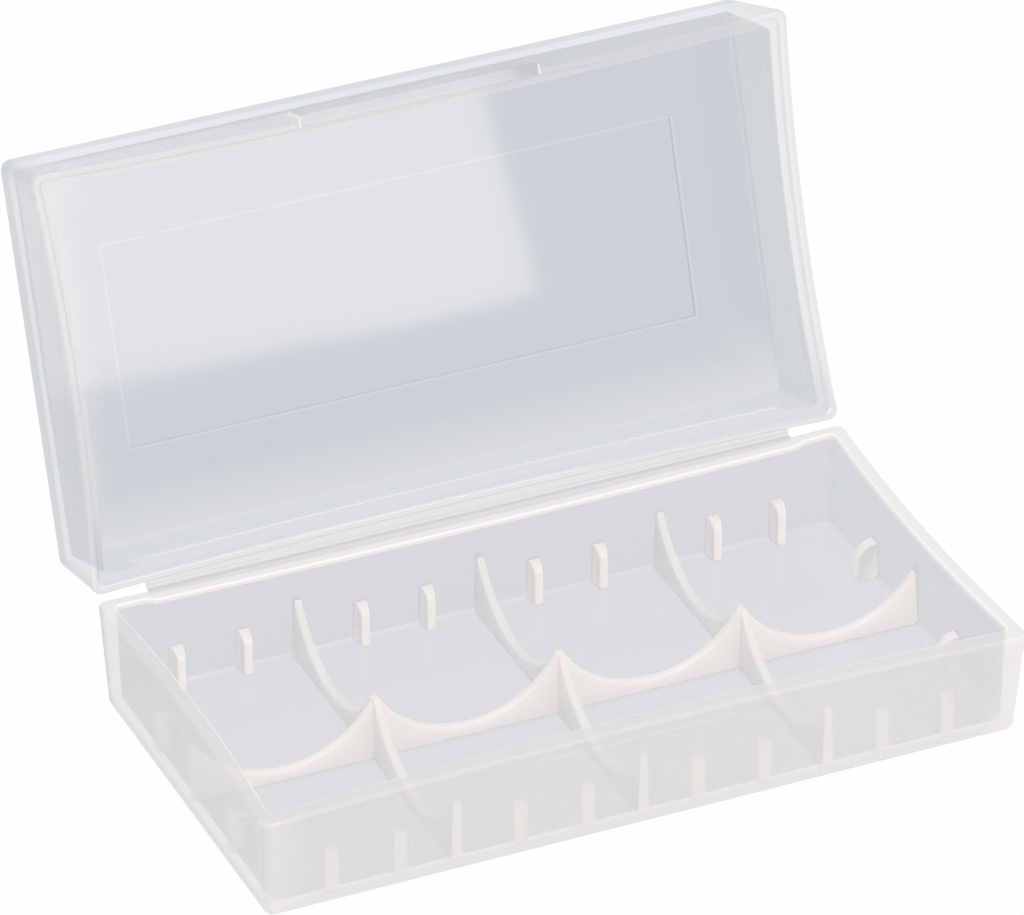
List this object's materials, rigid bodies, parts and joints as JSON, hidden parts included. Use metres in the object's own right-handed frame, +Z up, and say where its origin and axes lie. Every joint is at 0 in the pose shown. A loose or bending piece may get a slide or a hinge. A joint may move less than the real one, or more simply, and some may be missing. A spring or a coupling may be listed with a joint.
{
  "type": "battery storage box",
  "caption": "Small flat translucent plastic box with a scalloped rib tray for round cells, a deep lid on a living hinge and a snap tab in front.",
  "frame": {"origin": "middle of the tray's flat base, on the surface that the box stands on", "axes": "+X along the box, +Y from the latch side to the hinge side, +Z up"},
  "size_m": [0.0774, 0.0645, 0.0511],
  "materials": {
    "polypropylene": "translucent natural polypropylene, glossy moulded faces",
    "hinge_film": "translucent natural polypropylene film, stretched and clear at the crease"
  },
  "bodies": {
    "tray": {"tray": "polypropylene", "hinge_web": "hinge_film"},
    "lid": {"lid": "polypropylene"}
  },
  "joints": [
    {"name": "lid_hinge", "type": "hinge", "parent": "tray", "child": "lid", "pos_m": [0, 0.0205, 0.01105], "axis": [-1, 0, 0], "range_deg": [-108.6, 71.4], "deforming": ["hinge_web"]}
  ]
}
